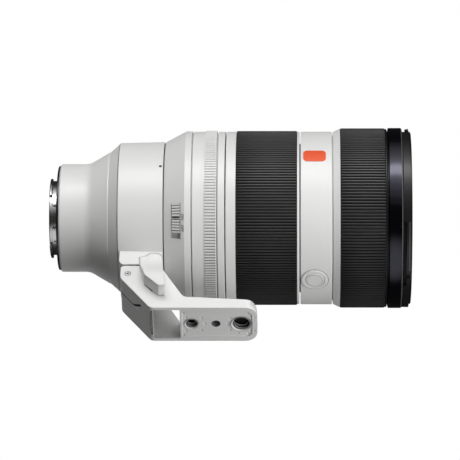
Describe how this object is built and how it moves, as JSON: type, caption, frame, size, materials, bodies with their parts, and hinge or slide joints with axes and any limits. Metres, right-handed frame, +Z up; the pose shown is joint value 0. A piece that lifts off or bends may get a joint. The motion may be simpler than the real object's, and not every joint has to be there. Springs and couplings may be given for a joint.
{
  "type": "camera zoom lens",
  "caption": "White telephoto zoom lens with rear bayonet, switch and aperture rings, ribbed zoom and focus grips, black front ring and a turning tripod collar with a quick-release foot.",
  "frame": {"origin": "centre of the camera mount's flange face, on the optical axis", "axes": "+X along the optical axis towards the subject, +Z up with the tripod foot straight down"},
  "size_m": [0.205, 0.1072, 0.1349],
  "materials": {
    "white_paint": "fine matt off-white paint on metal",
    "black_paint": "satin black paint",
    "gloss_black": "gloss black paint",
    "grip_rubber": "matt black ribbed rubber",
    "chrome": "bright chrome",
    "steel": "bright turned steel",
    "brass": "gold plated",
    "aluminium": "black anodised",
    "bare_aluminium": "machined aluminium",
    "optical_glass": "coated optical glass",
    "black_plastic": "matt black plastic",
    "grey_plastic": "pale grey plastic",
    "board_green": "green circuit board",
    "badge_orange": "glossy orange-red",
    "gasket_rubber": "soft black rubber"
  },
  "bodies": {
    "barrel": {"mount_flange": "chrome", "mount_screws": "steel", "mount_gasket": "gasket_rubber", "rear_cell": "black_plastic", "rear_glass": "optical_glass", "contact_block": "black_plastic", "contact_pins": "brass", "main_board": "board_green", "rear_barrel": "white_paint", "guide_barrel": "aluminium", "switch_barrel": "white_paint", "index_ring": "white_paint", "button_barrel": "white_paint", "button_bezels": "white_paint", "badge_plate": "badge_orange", "front_barrel": "black_paint", "front_ring": "gloss_black", "front_cell": "aluminium", "front_glass": "optical_glass", "second_glass": "optical_glass", "retaining_ring": "black_paint", "iris_base": "aluminium", "focus_rods": "steel"},
    "aperture_ring": {"aperture_ring": "white_paint"},
    "zoom_ring": {"zoom_ring": "white_paint", "zoom_grip": "grip_rubber", "cam_barrel": "aluminium"},
    "variator": {"variator_cell": "aluminium", "variator_glass": "optical_glass"},
    "compensator": {"compensator_cell": "aluminium", "compensator_glass": "optical_glass"},
    "front_focus_group": {"front_focus_cell": "aluminium", "front_focus_glass": "optical_glass"},
    "rear_focus_group": {"rear_focus_cell": "aluminium", "rear_focus_glass": "optical_glass"},
    "focus_ring": {"focus_ring": "white_paint", "focus_grip": "grip_rubber"},
    "click_switch": {"click_switch": "grey_plastic"},
    "focus_mode_switch": {"focus_mode_switch": "grey_plastic"},
    "focus_range_switch": {"focus_range_switch": "grey_plastic"},
    "hold_button_bottom": {"hold_button_bottom": "white_paint"},
    "hold_button_top": {"hold_button_top": "white_paint"},
    "hold_button_side": {"hold_button_side": "white_paint"},
    "tripod_collar": {"tripod_collar": "white_paint"},
    "collar_knob": {"collar_knob": "white_paint"},
    "foot": {"foot": "white_paint", "thread_inserts": "steel", "foot_screws": "steel"},
    "foot_lever": {"foot_lever": "white_paint"}
  },
  "joints": [
    {"name": "aperture_ring_turn", "type": "hinge", "parent": "barrel", "child": "aperture_ring", "pos_m": [0.0837, 0, 0], "axis": [1, 0, 0], "range_deg": [0, 60]},
    {"name": "zoom_ring_turn", "type": "hinge", "parent": "barrel", "child": "zoom_ring", "pos_m": [0.1163, 0, 0], "axis": [1, 0, 0], "range_deg": [0, 66]},
    {"name": "variator_slide", "type": "slide", "parent": "barrel", "child": "variator", "axis": [1, 0, 0], "range_m": [0, 0.014]},
    {"name": "compensator_slide", "type": "slide", "parent": "barrel", "child": "compensator", "axis": [1, 0, 0], "range_m": [-0.014, 0]},
    {"name": "front_focus_slide", "type": "slide", "parent": "barrel", "child": "front_focus_group", "axis": [1, 0, 0], "range_m": [0, 0.005]},
    {"name": "rear_focus_slide", "type": "slide", "parent": "barrel", "child": "rear_focus_group", "axis": [1, 0, 0], "range_m": [0, 0.005]},
    {"name": "focus_ring_turn", "type": "hinge", "parent": "barrel", "child": "focus_ring", "pos_m": [0.1713, 0, 0], "axis": [1, 0, 0], "continuous": true},
    {"name": "click_switch_slide", "type": "hinge", "parent": "barrel", "child": "click_switch", "pos_m": [0.0679, 0, 0], "axis": [1, 0, 0], "range_deg": [0, 4.4]},
    {"name": "focus_mode_slide", "type": "hinge", "parent": "barrel", "child": "focus_mode_switch", "pos_m": [0.0679, 0, 0], "axis": [1, 0, 0], "range_deg": [0, 4.8]},
    {"name": "focus_range_slide", "type": "hinge", "parent": "barrel", "child": "focus_range_switch", "pos_m": [0.0679, 0, 0], "axis": [1, 0, 0], "range_deg": [0, 4.8]},
    {"name": "hold_button_bottom_press", "type": "slide", "parent": "barrel", "child": "hold_button_bottom", "axis": [0, 0, 1], "range_m": [0, 0.0006], "stiffness_N_per_m": 900, "springref_m": -0.0005},
    {"name": "hold_button_top_press", "type": "slide", "parent": "barrel", "child": "hold_button_top", "axis": [0, 0, -1], "range_m": [0, 0.0006], "stiffness_N_per_m": 900, "springref_m": -0.0005},
    {"name": "hold_button_side_press", "type": "slide", "parent": "barrel", "child": "hold_button_side", "axis": [0, -1, 0], "range_m": [0, 0.0006], "stiffness_N_per_m": 900, "springref_m": -0.0005},
    {"name": "collar_turn", "type": "hinge", "parent": "barrel", "child": "tripod_collar", "pos_m": [0.0476, 0, 0], "axis": [1, 0, 0], "continuous": true},
    {"name": "collar_knob_turn", "type": "hinge", "parent": "tripod_collar", "child": "collar_knob", "pos_m": [0.0476, 0.05, 0], "axis": [0, 1, 0], "range_deg": [0, 180]},
    {"name": "foot_slide", "type": "slide", "parent": "tripod_collar", "child": "foot", "axis": [-1, 0, 0], "range_m": [0, 0.024]},
    {"name": "foot_lever_turn", "type": "hinge", "parent": "tripod_collar", "child": "foot_lever", "pos_m": [0.0555, -0.012, -0.047], "axis": [0, -1, 0], "range_deg": [0, 35]}
  ],
  "couplings": [
    {"joint": "variator_slide", "follows": "zoom_ring_turn", "m_per_rad": 0.012154},
    {"joint": "compensator_slide", "follows": "zoom_ring_turn", "m_per_rad": -0.012154}
  ]
}
